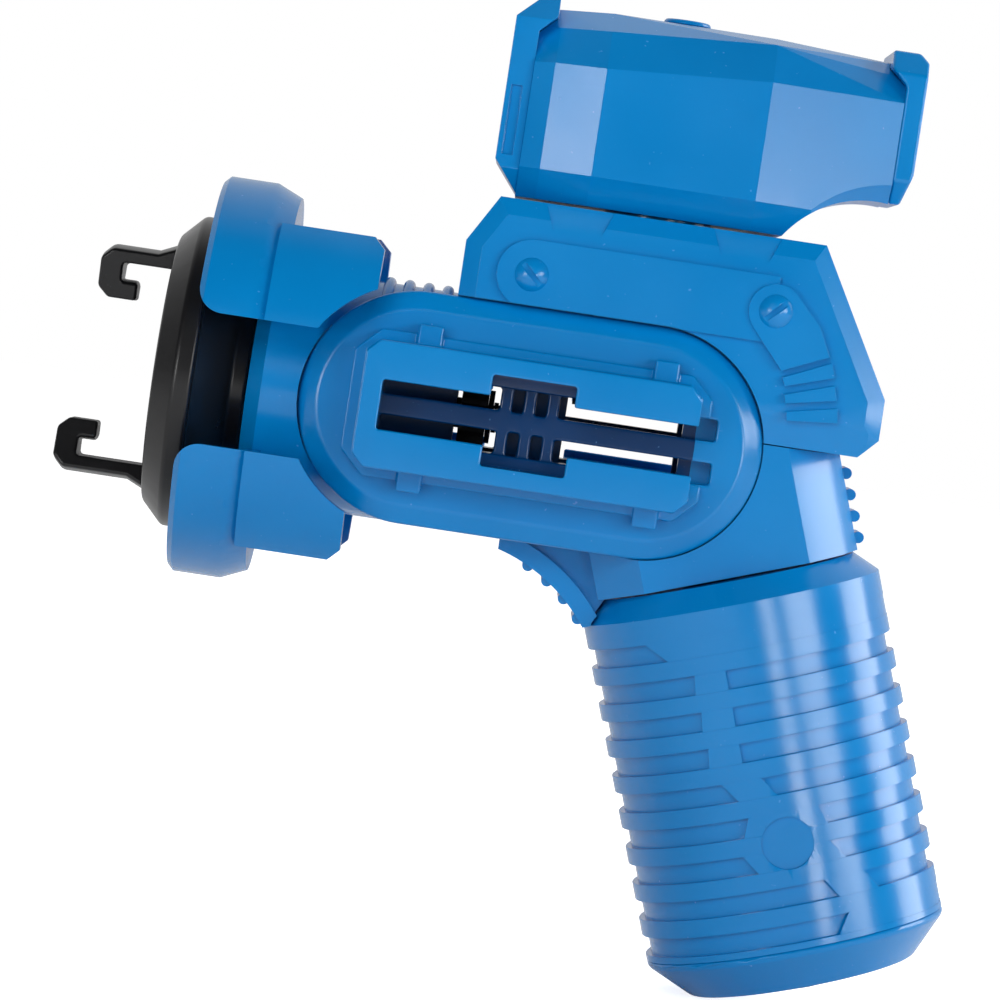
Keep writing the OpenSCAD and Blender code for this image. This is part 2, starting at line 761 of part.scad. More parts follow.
// Column of the neck along the handle, drawn in from its faces by an inset
module neck_column(inset, z0) {
    reach = neck_reach - inset;
    half_w = neck_half_w - inset;
    cut_x = reach - neck_back_cut;
    handle_frame() translate([0, 0, z0]) linear_extrude(neck_l) polygon([
        [reach, 0 - neck_back_half_w], [reach, neck_back_half_w],
        [cut_x, half_w - neck_facet], [cut_x - neck_facet, half_w],
        [neck_front_facet - reach, half_w], [0 - reach, half_w - neck_front_facet],
        [0 - reach, neck_front_facet - half_w], [neck_front_facet - reach, 0 - half_w],
        [cut_x - neck_facet, 0 - half_w], [cut_x, neck_facet - half_w]
    ]);
}

module fin_frame() {
    translate([fin_x, 0, fin_z]) rotate([90, 0, 0]) children();
}

// Ring along the curve of the fin, clipped to the space between the barrel and the handle
module fin_band(half_w, t) {
    intersection() {
        fin_frame() translate([0, 0, 0 - half_w]) difference() {
            cylinder(h = 2 * half_w, r = fin_r + t);
            translate([0, 0, 0 - overrun]) cylinder(h = 2 * half_w + 2 * overrun, r = fin_r);
        }
        translate([fin_x + fin_lead, 0 - half_w, 0 - handle_drop - handle_r])
            cube([handle_x - fin_x - fin_lead, 2 * half_w, handle_drop + handle_r]);
        handle_frame() translate([0 - 2 * handle_d, 0 - handle_d, 0 - handle_shoulder])
            cube([4 * handle_d, 2 * handle_d, 2 * handle_d]);
    }
}

// Space of the handle, with a gap all round
module handle_space() {
    handle_frame() {
        translate([0, 0, move_gap - handle_shoulder]) cylinder(
            h = handle_shoulder, r1 = handle_r + move_gap, r2 = handle_r + move_gap - handle_shoulder);
        translate([0, 0, 0 - handle_l]) cylinder(h = handle_l + move_gap - handle_shoulder, r = handle_r + move_gap);
    }
}

// Curved fin under the barrel, the thinner web behind it and its grip ribs
module fin() {
    difference() {
        union() {
            fin_band(fin_half_w, fin_t);
            fin_band(fin_half_w - fin_web_step, handle_r);
        }
        handle_space();
    }
    for (i = [0 : fin_ribs - 1]) fin_frame() rotate([0, 0, 90 - fin_rib_start - i * fin_rib_angle])
        translate([fin_r, 0, neck_rib_r - fin_half_w])
            cylinder(h = 2 * (fin_half_w - neck_rib_r), r = neck_rib_r);
}

module neck_rib_set() {
    for (i = [0 : neck_ribs - 1]) handle_frame()
        translate([neck_reach + neck_rib_r / 2, neck_rib_w / 2, neck_rib_top - i * neck_rib_pitch])
            rotate([90, 0, 0]) cylinder(h = neck_rib_w, r = neck_rib_r);
}

module neck() {
    intersection() {
        neck_column(0, move_gap);
        translate([0, 0 - 2 * neck_half_w, neck_top_z - neck_l])
            cube([2 * handle_x, 4 * neck_half_w, neck_l]);
    }
    neck_rib_set();
    fin();
}

// Slabs outside the core that make room for the port plates and the saddle covers
module cover_seats() {
    for (side = ["left", "right"]) mirror_side(side) on_left(core_half_w) linear_extrude(2 * neck_half_w) {
        stadium(port_x0 - cover_gap, port_x1 + cover_gap, port_h + 2 * cover_gap);
        translate([port_x1 - port_h / 2, neck_top_z]) square([neck_l, neck_l]);
    }
}

module body_form() {
    difference() {
        union() {
            barrel();
            neck();
        }
        cover_seats();
    }
    translate([0, core_half_w, 0]) rotate([90, 0, 0]) linear_extrude(2 * core_half_w) {
        stadium(port_x0, port_x1, port_h);
        saddle_outline();
    }
}

// Hollow of the body, with the bulkheads left standing
module body_bay() {
    slope_x = saddle_x0 + saddle_top_l;
    along_x(barrel_x + barrel_wall_l)
        cylinder(h = bulkhead_x0 - barrel_x - barrel_wall_l, d = barrel_bay_d);
    translate([0, bay_half_w, 0]) rotate([90, 0, 0]) linear_extrude(2 * bay_half_w) difference() {
        union() {
            intersection() {
                stadium(port_x0 + wall, port_x1 - wall, port_h - 2 * wall);
                translate([bay_x0, 0 - port_h]) square([port_l, 2 * port_h]);
            }
            polygon([
                [bay_x0, 0], [bay_x0, saddle_z - saddle_front_drop],
                [bay_x0 + saddle_front_cut, bay_top_z], [slope_x - wall, bay_top_z],
                [saddle_x1 - 2 * wall, saddle_heel_z], [port_x1 - wall, saddle_foot_z + wall]
            ]);
        }
        translate([rib_wall_x0, 0 - port_h]) square([rib_wall_x1 - rib_wall_x0, port_h + saddle_z]);
        translate([shelf_x0, shelf_z0]) square([shelf_l, shelf_t]);
    }
    intersection() {
        neck_column(2 * wall, post_flange_z + post_flange_t + wall);
        translate([0, 0 - bay_half_w, neck_top_z - neck_l]) cube([port_x1, 2 * bay_half_w, neck_l]);
    }
}

module body_bores() {
    along_x(barrel_x - overrun)
        cylinder(h = barrel_wall_l + 2 * overrun, d = rotor_bush_d + 2 * seat_fit);
    along_x(bulkhead_x0 - overrun)
        cylinder(h = bulkhead_x - bulkhead_x0 + 2 * overrun, d = rotor_shaft_d + 2 * move_gap);
    along_x(bulkhead_x)
        cylinder(h = bay_x0 - bulkhead_x + overrun, d = rotor_bush_d + 2 * seat_fit);
    along_x(bulkhead_x, lay_z)
        cylinder(h = rib_wall_x1 - bulkhead_x + overrun, d = lay_bush_d + 2 * seat_fit);
    at_drive(shelf_z0 - overrun) cylinder(h = shelf_t + 2 * overrun, d = drive_bush_d + 2 * seat_fit);
    at_drive(bay_top_z - overrun) cylinder(h = spigot_roof_l + 2 * overrun, d = spigot_d + 2 * run_fit);
    // Seat of the handle post
    handle_frame() {
        cylinder(h = post_flange_z + overrun, d = post_d + 2 * seat_fit);
        translate([0, 0, post_flange_z - seat_fit])
            cylinder(h = post_flange_t + 2 * seat_fit, d = post_flange_d + 2 * seat_fit);
    }
    // Pockets in both sides behind the rail channels, joined to a window at their rear
    pocket_y = 2 * core_half_w;
    translate([0, 0, 0 - window_h / 2]) linear_extrude(window_h) polygon([
        [window_x0, 0 - pocket_y], [window_x1, 0 - pocket_y], [window_x1, pocket_y],
        [window_x0, pocket_y], [window_x0, bulkhead_half_w], [notch_x1, bulkhead_half_w],
        [notch_x1, 0 - bulkhead_half_w], [window_x0, 0 - bulkhead_half_w]
    ]);
}

module shell_screw_places() {
    for (p = shell_screws) translate([p[0], 0, p[1]]) rotate([90, 0, 0]) children();
}

module body_shell(side) {
    color(blue) difference() {
        union() {
            difference() {
                body_form();
                body_bay();
            }
            shell_screw_places() translate([0, 0, 0 - bay_half_w])
                cylinder(h = 2 * bay_half_w, d = shell_boss_d);
            for (s = ["left", "right"]) mirror_side(s) saddle_screw_places(core_half_w - cover_screw_l)
                cylinder(h = cover_screw_l - wall / 2, d = shell_boss_d);
            // Web along the middle of the bay, from the rib wall to the crown gear
            translate([web_x0, 0 - web_half_t, web_z0])
                cube([web_x1 - web_x0, 2 * web_half_t, web_z1 - web_z0]);
        }
        body_bores();
        shell_screw_places() {
            translate([0, 0, 0 - core_half_w - overrun])
                cylinder(h = core_half_w + overrun + bay_half_w - shell_screw_tail,
                         d = shell_screw_d + 2 * seat_fit);
            translate([0, 0, 0 - core_half_w - overrun])
                cylinder(h = shell_head_t + overrun, d = shell_head_d + 2 * seat_fit);
        }
        for (s = ["left", "right"]) mirror_side(s) saddle_screw_places(core_half_w - cover_screw_l + wall / 2)
            cylinder(h = cover_screw_l, d = cover_screw_d + 2 * seat_fit);
        translate([0 - port_l, side == "left" ? 0 : 0 - 4 * neck_half_w, 0 - 2 * port_l])
            cube([4 * port_l, 4 * neck_half_w, 4 * port_l]);
    }
}

module body_shell_left() { body_shell("left"); }
module body_shell_right() { body_shell("right"); }

module body_screws() {
    color(steel) shell_screw_places() {
        translate([0, 0, seat_fit - core_half_w]) cylinder(h = shell_head_t - seat_fit, d = shell_head_d);
        translate([0, 0, shell_head_t - core_half_w])
            cylinder(h = core_half_w - shell_head_t + bay_half_w - shell_screw_tail - seat_fit,
                     d = shell_screw_d);
    }
}

// Front collar

module collar() {
    r_out = collar_d / 2;
    r_in = r_out - collar_wall;
    color(blue) difference() {
        union() {
            along_x(collar_x0) rotate_extrude() polygon([
                [r_in, 0], [r_out - collar_edge / 2, 0], [r_out, collar_edge / 2],
                [r_out, collar_x1 - collar_x0 - collar_bevel_l], [r_out - collar_edge, collar_x1 - collar_x0],
                [barrel_d / 2, collar_x1 - collar_x0],
                [barrel_d / 2, collar_x1 - collar_x0 - collar_web_t],
                [r_in, collar_x1 - collar_x0 - collar_web_t]
            ]);
            // Cheeks with a flat top and a cut corner behind the collar
            difference() {
                along_x(collar_x1 - collar_edge) ring(collar_d, 2 * r_in, cheek_l + collar_edge);
                translate([collar_x1, collar_d, 0]) rotate([90, 0, 0]) linear_extrude(2 * collar_d) polygon([
                    [0 - 2 * collar_edge, cheek_z], [cheek_l - collar_edge, cheek_z],
                    [cheek_l + overrun, cheek_z - collar_edge - overrun],
                    [cheek_l + overrun, collar_d], [0 - 2 * collar_edge, collar_d]
                ]);
            }
        }
        translate([0 - port_l, 0 - collar_d, collar_window_h / 2 - collar_d])
            cube([2 * port_l, 2 * collar_d, collar_d]);
        translate([port_end_x, collar_d, 0]) rotate([90, 0, 0])
            cylinder(h = 2 * collar_d, r = port_h / 2 + cheek_gap);
        translate([collar_x0, collar_d, collar_window_h / 2]) rotate([90, 0, 0]) linear_extrude(2 * collar_d)
            difference() {
                translate([0 - overrun, 0 - overrun]) square(collar_corner_r + overrun);
                translate([collar_corner_r, collar_corner_r]) circle(r = collar_corner_r);
            }
    }
}

module front_collar_upper() { collar(); }
module front_collar_lower() { mirror([0, 0, 1]) collar(); }

// Side ports and accessory rails

// Spaces between the spine and the ribs under the channel
module channel_floor_cuts() {
    difference() {
        translate([window_x0, 0 - window_h / 2]) square([pocket_x1 - window_x0, window_h]);
        translate([window_x0 - overrun, 0 - spine_h / 2])
            square([pocket_x1 - window_x0 + 2 * overrun, spine_h]);
        for (p = grid_rib_shares) translate([notch_x0 + p * notch_l - grid_rib_w / 2, 0 - window_h])
            square([grid_rib_w, 2 * window_h]);
    }
}

module port_plate(side) {
    color(blue) mirror_side(side) on_left(core_half_w) difference() {
        bevelled_stadium(port_x0, port_x1, port_h, port_t, port_bevel, port_bevel_t);
        translate([0, 0, 0 - overrun]) linear_extrude(port_t + 2 * overrun) channel_floor_cuts();
    }
}

module port_plate_left() { port_plate("left"); }
module port_plate_right() { port_plate("right"); }

// Rectangle with cut corners
module cut_rectangle(x0, x1, h, cut) {
    polygon([
        [x0 + cut, 0 - h / 2], [x1 - cut, 0 - h / 2], [x1, cut - h / 2], [x1, h / 2 - cut],
        [x1 - cut, h / 2], [x0 + cut, h / 2], [x0, h / 2 - cut], [x0, cut - h / 2]
    ]);
}

module accessory_rail(side) {
    floor_t = rail_base_t;
    rail_t = floor_t + channel_depth + lip_t;
    color(blue) mirror_side(side) on_left(core_half_w + port_t) difference() {
        union() {
            linear_extrude(floor_t) cut_rectangle(rail_x0, rail_x1, rail_base_h, rail_corner);
            linear_extrude(rail_t) cut_rectangle(rail_x0 + rail_lead, rail_x1 - rail_lead, rail_h, rail_lead);
            for (p = lug_shares, s = [0 - 1, 1])
                translate([rail_x0 + p * rail_base_l - lug_l / 2, s * rail_base_h / 2 - lug_h / 2, 0])
                    cube([lug_l, lug_h, floor_t + lug_t]);
        }
        translate([window_x0, 0 - window_h / 2, 0 - overrun])
            cube([pocket_x1 - window_x0, window_h, rail_t]);
        translate([channel_x0, 0 - channel_h / 2, floor_t])
            cube([rail_base_l, channel_h, channel_depth]);
        translate([channel_x0, 0 - mouth_h / 2, floor_t]) cube([rail_base_l, mouth_h, rail_t]);
        translate([notch_x0, 0 - channel_h / 2, floor_t]) cube([notch_l, channel_h, rail_t]);
    }
}

module accessory_rail_left() { accessory_rail("left"); }
module accessory_rail_right() { accessory_rail("right"); }

// Saddle covers

// Children at each cover screw, on the left side
module saddle_screw_places(y, seats = [0, 0]) {
    on_left(y) for (i = [0, 1]) translate([saddle_screw_x + i * saddle_screw_pitch, saddle_screw_z, seats[i]])
        rotate([0, 0, head_turns[i]]) children();
}

module saddle_details() {
    // Raised panel that starts round at the front screw
    translate([saddle_screw_x, saddle_screw_z]) circle(r = panel_r);
    translate([saddle_screw_x, port_h / 2])
        square([saddle_screw_pitch, saddle_screw_z + panel_r - port_h / 2]);
}

// Raised tongue round the rear screw
module saddle_tongue() {
    translate([saddle_screw_x + saddle_screw_pitch, saddle_screw_z]) {
        circle(r = tongue_r);
        polygon(tongue_corners);
    }
}

// Wedge under the slanted foot face, and wedges that leave a facet in the top bevel
module saddle_bevel_cuts() {
    translate([saddle_x0 - overrun, 0, 0]) rotate([90, 0, 90]) linear_extrude(saddle_l + 2 * overrun) polygon([
        [saddle_foot_z - overrun, saddle_t - foot_bevel_t * (foot_bevel_h + overrun) / foot_bevel_h],
        [saddle_foot_z + foot_bevel_h, saddle_t], [saddle_foot_z + foot_bevel_h, 2 * saddle_t],
        [saddle_foot_z - overrun, 2 * saddle_t]
    ]);
    for (p = facet_places) intersection() {
        translate([saddle_x0 + p - facet_top_l, 0, 0]) rotate([90, 0, 90]) linear_extrude(2 * facet_top_l)
            polygon([
                [saddle_z - facet_h, saddle_t],
                [saddle_z + overrun, saddle_t - facet_drop * (facet_h + overrun) / facet_h],
                [saddle_z + overrun, 2 * saddle_t], [saddle_z - facet_h, 2 * saddle_t]
            ]);
        translate([saddle_x0 + p, saddle_z, 0 - overrun]) linear_extrude(3 * saddle_t) polygon([
            [0 - facet_low_l / 2, 0 - facet_h - overrun], [facet_low_l / 2, 0 - facet_h - overrun],
            [facet_top_l / 2, 2 * overrun], [0 - facet_top_l / 2, 2 * overrun]
        ]);
    }
}

// Fan of thin wedges below the tongue
module saddle_wedges() {
    for (i = [0 : wedge_count - 1])
        translate([saddle_screw_x + saddle_screw_pitch + wedge_setback + i * wedge_shift,
                   saddle_screw_z - wedge_drop - i * wedge_pitch])
            rotate([0, 0, wedge_lean - i * wedge_lean_step]) polygon([
                [0 - wedge_l / 2, 0 - wedge_thin_share * wedge_h / 2], [wedge_l / 2, 0 - wedge_h / 2],
                [wedge_l / 2, wedge_h / 2], [0 - wedge_l / 2, wedge_thin_share * wedge_h / 2]
            ]);
}

module saddle(side) {
    color(blue) mirror_side(side) on_left(core_half_w) difference() {
        union() {
            difference() {
                hull() {
                    linear_extrude(saddle_t - saddle_bevel / 2) saddle_outline();
                    linear_extrude(saddle_t) offset(delta = 0 - saddle_bevel) saddle_outline();
                }
                saddle_bevel_cuts();
            }
            linear_extrude(saddle_t + wedge_t) saddle_wedges();
            linear_extrude(saddle_t + tongue_t) saddle_tongue();
            intersection() {
                linear_extrude(saddle_t + panel_t) saddle_details();
                linear_extrude(saddle_t + panel_t) offset(delta = 0 - saddle_bevel) saddle_outline();
            }
        }
        translate([0, 0, 0 - overrun]) linear_extrude(2 * saddle_t)
            stadium(port_x0 - cover_gap, port_x1 + cover_gap, port_h + 2 * cover_gap);
        for (i = [0, 1]) translate([saddle_screw_x + i * saddle_screw_pitch, saddle_screw_z, 0 - overrun])
            cylinder(h = 2 * saddle_t, d = cover_screw_d + 2 * seat_fit);
    }
}

module saddle_left() { saddle("left"); }
module saddle_right() { saddle("right"); }

module saddle_screws() {
    dome_r = (pow(saddle_head_d / 2, 2) + pow(head_h, 2)) / (2 * head_h);
    color(blue) for (side = ["left", "right"]) mirror_side(side)
        saddle_screw_places(core_half_w + saddle_t, [panel_t, tongue_t]) {
            difference() {
                intersection() {
                    translate([0, 0, head_h - dome_r]) sphere(r = dome_r);
                    cylinder(h = head_h, d = saddle_head_d);
                }
                translate([0 - saddle_head_d, 0 - head_slot_w / 2, head_h - head_slot_d])
                    cube([2 * saddle_head_d, head_slot_w, head_h]);
            }
            translate([0, 0, 0 - cover_screw_l - saddle_t - panel_t + wall])
                cylinder(h = cover_screw_l + saddle_t + panel_t - wall, d = cover_screw_d);
        }
}

// Winder case

// Cross section of the case, half width w, drawn in from its faces by an inset
module case_section(w, rise, fall, crown, inset) {
    w_in = w - inset;
    low = case_low_bevel;
    roof_z = case_z1 - fall * case_roof_fall;
    high_z = case_z1 - case_high_bevel_h + rise * case_high_rise;
    polygon([for (s = [[0 - 1, 0 - 1], [1, 1]], i = [0 : 4]) let (k = s[0] < 0 ? 4 - i : i)
        [[s[0] * (w_in - low), case_z0 + inset], [s[0] * w_in, case_z0 + low + inset],
         [s[0] * w_in, high_z], [s[0] * (w_in - case_high_bevel), roof_z - crown * case_crown - inset],
         [s[0] * w_in * case_crown_share, roof_z - inset]][k]]);
}

module case_solid(inset) {
    hull() for (p = case_shares)
        translate([case_x0 + inset + p[0] * (case_l - 2 * inset - case_station_t), 0, 0])
            rotate([90, 0, 90]) linear_extrude(case_station_t)
                case_section(p[1] * case_w / 2, p[2], p[3], p[4], inset);
}

module case_arch(grow) {
    translate([arch_x, case_w, arch_z]) rotate([90, 0, 0]) cylinder(h = 2 * case_w, r = arch_r + grow);
}

// Cones that bevel the edge of the arch on both tail faces
module case_arch_bevels() {
    for (s = [0 - 1, 1]) translate([arch_x, 0, arch_z]) rotate([0, 0, 0 - s * case_tail_lean])
        translate([0, s * (case_tail_y - arch_bevel), 0]) rotate([0 - s * 90, 0, 0])
            cylinder(h = case_w, r1 = arch_r, r2 = arch_r + case_w);
}

// Slot that the toothed strip runs through, along the whole case
module strip_slot() {
    translate([case_x0 - case_l, strip_y0, strip_z0]) cube([3 * case_l, strip_slot_w, strip_slot_h]);
}

// Walls beside and under the strip, bosses and the arch skin, inside the case
module case_inner() {
    translate([case_x0, strip_y1, case_z0]) cube([case_l, guide_t, case_h]);
    for (x = case_screw_xs) translate([x, 0, case_z0]) cylinder(h = case_h, d = case_boss_d);
    at_drive(case_z0) cylinder(h = winder_pinion_z0 - case_z0 - 2 * move_gap, d = spigot_d);
    at_drive(winder_pinion_z0 + winder_face + 2 * move_gap)
        cylinder(h = case_h, d = drive_bush_d + 2 * case_wall);
}

module winder_case() {
    difference() {
        union() {
            difference() {
                case_solid(0);
                difference() {
                    case_solid(case_wall);
                    case_arch(case_wall);
                }
            }
            intersection() {
                case_inner();
                case_solid(case_wall / 2);
            }
            // Swivel spigot with its flange below the saddle roof
            at_drive(bay_top_z - spigot_flange_t - move_gap) {
                cylinder(h = case_z0 - bay_top_z + spigot_flange_t + case_wall, d = spigot_d);
                cylinder(h = spigot_flange_t, d = spigot_d + 2 * spigot_flange);
            }
        }
        case_arch(0);
        case_arch_bevels();
        strip_slot();
        front_plate_solid(seat_fit);
        rear_plate_solid(seat_fit);
        at_drive(0) cylinder(h = drive_shaft_z1 + move_gap, d = drive_shaft_d + 2 * run_fit);
        at_drive(case_z1 - cap_stem_l) cylinder(h = case_wall, d = cap_stem_d + 2 * seat_fit);
        for (x = case_screw_xs) translate([x, 0, case_z0 - overrun]) {
            cylinder(h = overrun + split_z - case_z0 + case_screw_tail, d = case_screw_d + 2 * seat_fit);
            cylinder(h = overrun + case_head_t, d = case_head_d + 2 * seat_fit);
        }
    }
}

module winder_lower_case() {
    color(blue) intersection() {
        winder_case();
        translate([0, 0 - case_w, 0]) cube([2 * case_x1, 2 * case_w, split_z]);
    }
}

module winder_upper_case() {
    color(blue) intersection() {
        winder_case();
        translate([0, 0 - case_w, split_z]) cube([2 * case_x1, 2 * case_w, case_h]);
    }
}

// Side outline of a guide plate: local X points out of the case end, and the plate hooks over the roof
module plate_outline(t, z0, foot_cut, corner, grow) {
    polygon([
        [0, z0], [t - foot_cut, z0], [t, z0 + plate_foot_h], [t, plate_z1 - corner],
        [t - corner, plate_z1 + grow], [0 - plate_hook_l - grow, plate_z1 + grow],
        [0 - plate_hook_l - grow, plate_z1 - plate_hook_t - grow],
        [0, plate_z1 - plate_hook_t - plate_hook_l - 2 * grow]
    ]);
}

// The two plates, grown by a gap where they cut their seats in the case
module front_plate_solid(grow) {
    translate([case_x0, plate_half_w + grow, 0]) mirror([1, 0, 0]) rotate([90, 0, 0])
        linear_extrude(2 * (plate_half_w + grow))
            plate_outline(front_plate_t, front_plate_z0, front_plate_t, plate_corner, grow);
}

module rear_plate_solid(grow) {
    translate([case_x1, plate_half_w + grow, 0]) rotate([90, 0, 0])
        linear_extrude(2 * (plate_half_w + grow))
            plate_outline(rear_plate_t, rear_plate_z0, rear_foot_cut, rear_plate_corner, grow);
}

// Cuts the corners of a guide plate, seen from its end, and its strip slot
module guide_plate(z0) {
    color(blue) difference() {
        intersection() {
            children();
            translate([0, 0, (z0 + plate_z1) / 2]) rotate([90, 0, 90]) linear_extrude(2 * case_x1)
                cut_rectangle(0 - plate_half_w, plate_half_w, plate_z1 - z0, plate_corner);
        }
        strip_slot();
    }
}

// Upright grooves in the two sides of the front plate
module plate_grooves() {
    for (s = [0 - 1, 1]) translate([
        case_x0 - front_plate_t + plate_groove_inset, s * plate_half_w - plate_groove_d,
        front_plate_z0 + plate_foot_h + plate_groove_inset
    ]) cube([plate_groove_w, 2 * plate_groove_d, plate_groove_h]);
}

module front_guide_plate() {
    color(blue) difference() {
        guide_plate(front_plate_z0) front_plate_solid(0);
        plate_grooves();
    }
}

module rear_guide_plate() { guide_plate(rear_plate_z0) rear_plate_solid(0); }

module pivot_cap() {
    color(blue) at_drive(case_z1) {
        cylinder(h = cap_h / 2, d = cap_d);
        translate([0, 0, cap_h / 2]) cylinder(h = cap_h / 2, d1 = cap_d, d2 = cap_d - cap_h);
        translate([0, 0, seat_fit - cap_stem_l]) cylinder(h = cap_stem_l, d = cap_stem_d);
    }
}

module winder_screws() {
    color(steel) for (x = case_screw_xs) translate([x, 0, case_z0 + seat_fit]) {
        cylinder(h = case_head_t - seat_fit, d = case_head_d);
        cylinder(h = split_z - case_z0 + case_screw_tail - 2 * seat_fit, d = case_screw_d);
    }
}

// Handle

// Groove round the grip, from one of its edges to a slanted end, as seen from the side
module groove_band(k) {
    translate([0, 0, 0 - groove_start - k * groove_pitch - groove_h / 2 - band_step])
        ring(handle_d + 2 * overrun, handle_d - 2 * band_step, groove_h + 2 * band_step);
}

module groove(k, ends, edge_x) {
    translate([0, 0, 0 - groove_start - k * groove_pitch]) intersection() {
        translate([0, 0, 0 - groove_h / 2])
            ring(handle_d + 2 * overrun, handle_d - 2 * groove_depth, groove_h);
        translate([0, handle_d, 0]) rotate([90, 0, 0]) linear_extrude(2 * handle_d) polygon([
            [edge_x, 0 - groove_h / 2], [ends[1], 0 - groove_h / 2],
            [ends[0], groove_h / 2], [edge_x, groove_h / 2]
        ]);
    }
}

module handle_shell() {
    tube_l = handle_l - base_h;
    color(blue) handle_frame() difference() {
        union() {
            translate([0, 0, 0 - handle_shoulder])
                cylinder(h = handle_shoulder, d1 = handle_d, d2 = handle_d - 2 * handle_shoulder);
            translate([0, 0, 0 - tube_l]) cylinder(h = tube_l - handle_shoulder, d = handle_d);
        }
        difference() {
            translate([0, 0, 0 - tube_l - overrun])
                cylinder(h = tube_l + overrun - handle_top_t, r = handle_r - handle_wall);
            base_bosses();
        }
        translate([0, 0, 0 - handle_top_t - overrun])
            cylinder(h = handle_top_t + 2 * overrun, d = post_d + 2 * run_fit);
        base_screw_places() translate([0, 0, 0 - overrun])
            cylinder(h = base_screw_tail + overrun, d = base_screw_d + 2 * seat_fit);
        for (k = [0 : len(front_groove_ends) - 1]) groove_band(k);
        for (k = [0 : len(front_groove_ends) - 1]) groove(k, front_groove_ends[k], 0 - handle_d);
        for (k = [0 : len(rear_groove_ends) - 1]) groove(k + 1, rear_groove_ends[k], handle_d);
        for (s = [0 - 1, 1]) translate([mark_x, s * (handle_r - mark_depth), 0 - mark_s])
            rotate([0 - s * 90, 0, 0]) cylinder(h = mark_depth + overrun, r = mark_r);
    }
}

module base_screw_places() {
    for (s = [0 - 1, 1]) translate([0, s * base_screw_r, base_h - handle_l]) children();
}

// Bosses in the grip for the base screws, with a rib across the grip that carries them
module base_bosses() {
    boss_lift = base_spigot_l + move_gap;
    base_screw_places() translate([0, 0, boss_lift]) cylinder(h = base_boss_l, d = base_boss_d);
    translate([0 - handle_wall / 2, 0 - handle_r, base_h - handle_l + boss_lift])
        cube([handle_wall, handle_d, base_boss_l]);
}

module handle_base_cap() {
    spigot_r = handle_r - handle_wall - seat_fit;
    color(blue) handle_frame() difference() {
        union() {
            translate([0, 0, 0 - handle_l])
                cylinder(h = base_bevel, d1 = handle_d - 2 * base_bevel, d2 = handle_d);
            translate([0, 0, base_bevel - handle_l]) cylinder(h = base_h - base_bevel, d = handle_d);
            translate([0, 0, base_h - handle_l]) cylinder(h = base_spigot_l, r = spigot_r);
        }
        translate([0, 0, handle_wall - handle_l])
            cylinder(h = base_h + base_spigot_l, r = base_screw_r - base_head_d);
        base_screw_places() {
            translate([0, 0, 0 - 2 * base_h]) cylinder(h = 4 * base_h, d = base_screw_d + 2 * seat_fit);
            translate([0, 0, 0 - 2 * base_h]) cylinder(h = 2 * base_h, d = base_head_d + 2 * seat_fit);
        }
    }
}

module handle_post() {
    color(black) handle_frame() difference() {
        union() {
            translate([0, 0, 0 - post_l]) cylinder(h = post_l + post_flange_z + seat_fit, d = post_d);
            translate([0, 0, post_flange_z]) cylinder(h = post_flange_t, d = post_flange_d);
        }
        translate([0, 0, 0 - post_l - overrun])
            cylinder(h = handle_screw_l + overrun, d = handle_screw_d + 2 * seat_fit);
    }
}

module handle_washer() {
    color(steel) handle_frame() translate([0, 0, 0 - post_l - washer_t])
        ring(washer_d, handle_screw_d + 2 * seat_fit, washer_t);
}

module handle_screw() {
    color(steel) handle_frame() translate([0, 0, 0 - post_l - washer_t]) {
        translate([0, 0, 0 - handle_head_t]) cylinder(h = handle_head_t, d = handle_head_d);
        cylinder(h = washer_t + handle_screw_l - seat_fit, d = handle_screw_d);
    }
}

module base_screws() {
    color(steel) handle_frame() base_screw_places() {
        translate([0, 0, 0 - base_head_t]) cylinder(h = base_head_t, d = base_head_d);
        cylinder(h = base_screw_tail - seat_fit, d = base_screw_d);
    }
}

body_shell_left();
body_shell_right();
body_screws();
front_collar_upper();
front_collar_lower();
port_plate_left();
port_plate_right();
accessory_rail_left();
accessory_rail_right();
saddle_left();
saddle_right();
saddle_screws();
rotor();
upper_hook();
lower_hook();
rotor_shaft();
front_bush();
rear_bush();
rotor_gear();
shaft_clip();
lay_shaft();
lay_bushes();
lay_gear();
crown_gear();
drive_shaft();
drive_bush();
crown_pinion();
winder_pinion();
winder_lower_case();
winder_upper_case();
front_guide_plate();
rear_guide_plate();
pivot_cap();
winder_screws();
handle_shell();
handle_base_cap();
handle_post();
handle_washer();
handle_screw();
base_screws();
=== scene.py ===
"""Looks of a spinning top launcher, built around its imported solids.

Lengths are in metres, in the frame of the solids: X runs back from the rotor
along its axis, Y is across the body and Z is up. The photograph looks along +Y.
"""

import json
import math

import bpy
from mathutils import Matrix, Vector


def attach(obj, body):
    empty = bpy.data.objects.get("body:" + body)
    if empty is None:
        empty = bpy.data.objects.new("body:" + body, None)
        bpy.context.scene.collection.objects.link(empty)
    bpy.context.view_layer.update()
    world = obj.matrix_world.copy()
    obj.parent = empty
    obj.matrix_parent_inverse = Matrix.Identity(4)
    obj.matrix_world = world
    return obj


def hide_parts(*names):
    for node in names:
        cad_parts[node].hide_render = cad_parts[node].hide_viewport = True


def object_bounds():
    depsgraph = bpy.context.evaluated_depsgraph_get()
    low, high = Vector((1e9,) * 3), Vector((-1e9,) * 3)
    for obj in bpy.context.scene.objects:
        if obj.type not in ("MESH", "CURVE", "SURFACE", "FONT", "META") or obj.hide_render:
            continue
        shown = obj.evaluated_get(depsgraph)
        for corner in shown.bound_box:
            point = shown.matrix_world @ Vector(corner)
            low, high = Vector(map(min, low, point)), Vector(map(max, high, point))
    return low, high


MM = 0.001

